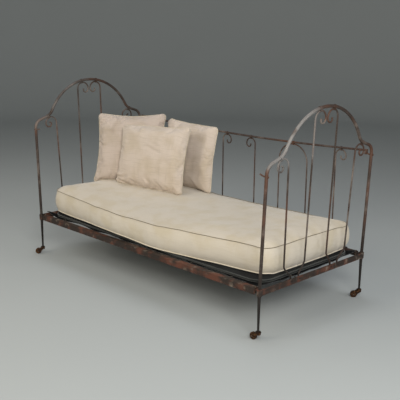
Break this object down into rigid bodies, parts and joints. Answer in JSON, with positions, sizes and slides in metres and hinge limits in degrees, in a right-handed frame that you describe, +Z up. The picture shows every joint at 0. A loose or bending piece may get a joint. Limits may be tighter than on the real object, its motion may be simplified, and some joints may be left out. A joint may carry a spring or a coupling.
{
  "type": "daybed",
  "caption": "Iron daybed with arched, scrolled ends, a drop-on back gallery, a canvas sling, a mattress, loose cushions and swivel castors.",
  "frame": {"origin": "middle of the floor under the daybed", "axes": "+X along its length towards the empty end, +Y towards the back gallery, +Z up"},
  "size_m": [1.9924, 0.9444, 1.1328],
  "materials": {
    "wrought_iron": "old dark brown patina with rust",
    "gallery_iron": "old dark brown patina, worn grey in places",
    "angle_iron": "rusted brown patina with worn spots",
    "bolt_steel": "dull and stained",
    "castor_horn": "aged brass",
    "castor_wheel": "aged brass, worn on the tread",
    "canvas": "matt woven canvas",
    "hook_wire": "dull wire",
    "pad_cloth": "matt woven cloth",
    "mattress_linen": "washed linen",
    "cushion_linen": "washed linen"
  },
  "bodies": {
    "frame": {"left_arch": "wrought_iron", "right_arch": "wrought_iron", "post_pegs": "wrought_iron", "right_inner_baluster_front": "wrought_iron", "right_outer_baluster_front": "wrought_iron", "right_inner_baluster_back": "wrought_iron", "right_outer_baluster_back": "wrought_iron", "left_inner_baluster_front": "wrought_iron", "left_outer_baluster_front": "wrought_iron", "left_inner_baluster_back": "wrought_iron", "left_outer_baluster_back": "wrought_iron", "left_end_rail": "wrought_iron", "right_end_rail": "wrought_iron", "front_rail": "angle_iron", "back_rail": "angle_iron", "foot_rivets": "wrought_iron", "corner_bolts": "bolt_steel", "corner_nuts": "bolt_steel", "end_straps": "wrought_iron", "sling": "canvas", "sling_hooks": "hook_wire"},
    "gallery": {"gallery_rail": "gallery_iron", "gallery_foot_bar": "gallery_iron", "gallery_hoop_left": "gallery_iron", "gallery_hoop_right": "gallery_iron", "gallery_scroll_inner_left": "gallery_iron", "gallery_scroll_inner_right": "gallery_iron", "gallery_scroll_outer_left": "gallery_iron", "gallery_scroll_outer_right": "gallery_iron", "gallery_straps": "gallery_iron"},
    "under_pad": {"under_pad": "pad_cloth"},
    "mattress": {"mattress": "mattress_linen"},
    "left_back_cushion": {"left_back_cushion": "cushion_linen"},
    "right_back_cushion": {"right_back_cushion": "cushion_linen"},
    "front_cushion": {"front_cushion": "cushion_linen"},
    "front_right_castor": {"front_right_castor_horn": "castor_horn", "front_right_castor_axle": "bolt_steel"},
    "front_right_wheel": {"front_right_castor_wheel": "castor_wheel"},
    "back_right_castor": {"back_right_castor_horn": "castor_horn", "back_right_castor_axle": "bolt_steel"},
    "back_right_wheel": {"back_right_castor_wheel": "castor_wheel"},
    "front_left_castor": {"front_left_castor_horn": "castor_horn", "front_left_castor_axle": "bolt_steel"},
    "front_left_wheel": {"front_left_castor_wheel": "castor_wheel"},
    "back_left_castor": {"back_left_castor_horn": "castor_horn", "back_left_castor_axle": "bolt_steel"},
    "back_left_wheel": {"back_left_castor_wheel": "castor_wheel"}
  },
  "joints": [
    {"name": "gallery_lift", "type": "slide", "parent": "frame", "child": "gallery", "axis": [0, 0, 1], "range_m": [0, 0.25]},
    {"name": "under_pad_lift", "type": "slide", "parent": "frame", "child": "under_pad", "axis": [0, 0, 1], "range_m": [0, 0.3]},
    {"name": "mattress_lift", "type": "slide", "parent": "under_pad", "child": "mattress", "axis": [0, 0, 1], "range_m": [0, 0.3]},
    {"name": "left_cushion_lift", "type": "slide", "parent": "mattress", "child": "left_back_cushion", "axis": [0, 0, 1], "range_m": [0, 0.3]},
    {"name": "right_cushion_slide", "type": "slide", "parent": "mattress", "child": "right_back_cushion", "axis": [1, 0, 0], "range_m": [0, 0.45]},
    {"name": "front_cushion_lift", "type": "slide", "parent": "left_back_cushion", "child": "front_cushion", "axis": [0, 0, 1], "range_m": [0, 0.3]},
    {"name": "front_right_swivel", "type": "hinge", "parent": "frame", "child": "front_right_castor", "pos_m": [0.95, -0.433, 0.06], "axis": [0, 0, 1], "continuous": true},
    {"name": "front_right_roll", "type": "hinge", "parent": "front_right_castor", "child": "front_right_wheel", "pos_m": [0.92, -0.433, 0.019], "axis": [0, -1, 0], "continuous": true},
    {"name": "back_right_swivel", "type": "hinge", "parent": "frame", "child": "back_right_castor", "pos_m": [0.95, 0.433, 0.06], "axis": [0, 0, 1], "continuous": true},
    {"name": "back_right_roll", "type": "hinge", "parent": "back_right_castor", "child": "back_right_wheel", "pos_m": [0.92879, 0.41179, 0.019], "axis": [0.7071, -0.7071, 0], "continuous": true},
    {"name": "front_left_swivel", "type": "hinge", "parent": "frame", "child": "front_left_castor", "pos_m": [-0.95, -0.433, 0.06], "axis": [0, 0, 1], "continuous": true},
    {"name": "front_left_roll", "type": "hinge", "parent": "front_left_castor", "child": "front_left_wheel", "pos_m": [-0.97121, -0.45421, 0.019], "axis": [0.7071, -0.7071, 0], "continuous": true},
    {"name": "back_left_swivel", "type": "hinge", "parent": "frame", "child": "back_left_castor", "pos_m": [-0.95, 0.433, 0.06], "axis": [0, 0, 1], "continuous": true},
    {"name": "back_left_roll", "type": "hinge", "parent": "back_left_castor", "child": "back_left_wheel", "pos_m": [-0.97121, 0.45421, 0.019], "axis": [-0.7071, -0.7071, 0], "continuous": true}
  ]
}
